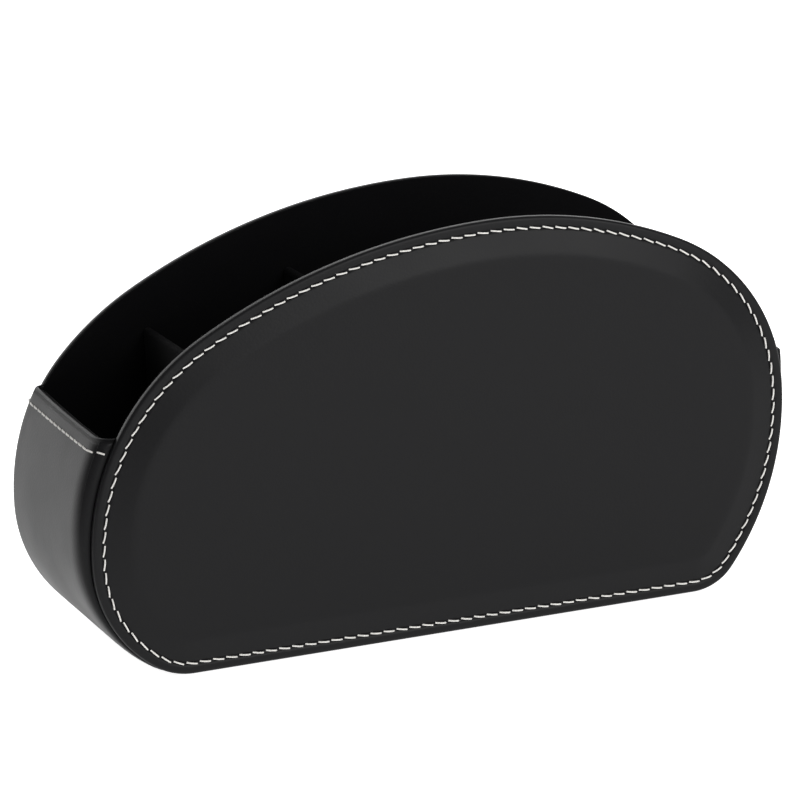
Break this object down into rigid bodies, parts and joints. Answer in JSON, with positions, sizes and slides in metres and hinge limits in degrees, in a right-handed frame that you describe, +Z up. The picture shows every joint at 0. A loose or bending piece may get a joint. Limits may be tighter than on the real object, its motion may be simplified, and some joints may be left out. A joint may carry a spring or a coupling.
{
  "type": "remote control holder",
  "caption": "Free-standing half-moon holder in padded black leather with contrast stitching, open at the top, velvet lined and split by upright dividers for remote controls.",
  "frame": {"origin": "centre of the resting face under the gusset, on the surface that the holder stands on", "axes": "+Z up, +X along the front panel to its right end as seen from the front, +Y from front to back"},
  "size_m": [0.2468, 0.092, 0.1353],
  "materials": {
    "leather": "black PU leather, fine grain, satin",
    "velvet": "black short-pile velvet lining",
    "thread": "off-white twisted polyester thread",
    "greyboard": "grey pressed board, inside the leather",
    "foam": "soft grey polyurethane foam, inside the cover"
  },
  "bodies": {
    "root": {"front_cover": "leather", "front_foam": "foam", "front_board": "greyboard", "front_lining": "velvet", "front_stitching": "thread", "back_cover": "leather", "back_foam": "foam", "back_board": "greyboard", "back_lining": "velvet", "back_stitching": "thread", "gusset_leather": "leather", "left_side_board": "greyboard", "left_side_lining": "velvet", "left_hem_stitching": "thread", "right_side_board": "greyboard", "right_side_lining": "velvet", "right_hem_stitching": "thread", "base_board": "greyboard", "floor_lining": "velvet", "divider_board_1": "greyboard", "divider_cover_1": "velvet", "divider_board_2": "greyboard", "divider_cover_2": "velvet", "divider_board_3": "greyboard", "divider_cover_3": "velvet", "divider_board_4": "greyboard", "divider_cover_4": "velvet"}
  },
  "joints": []
}
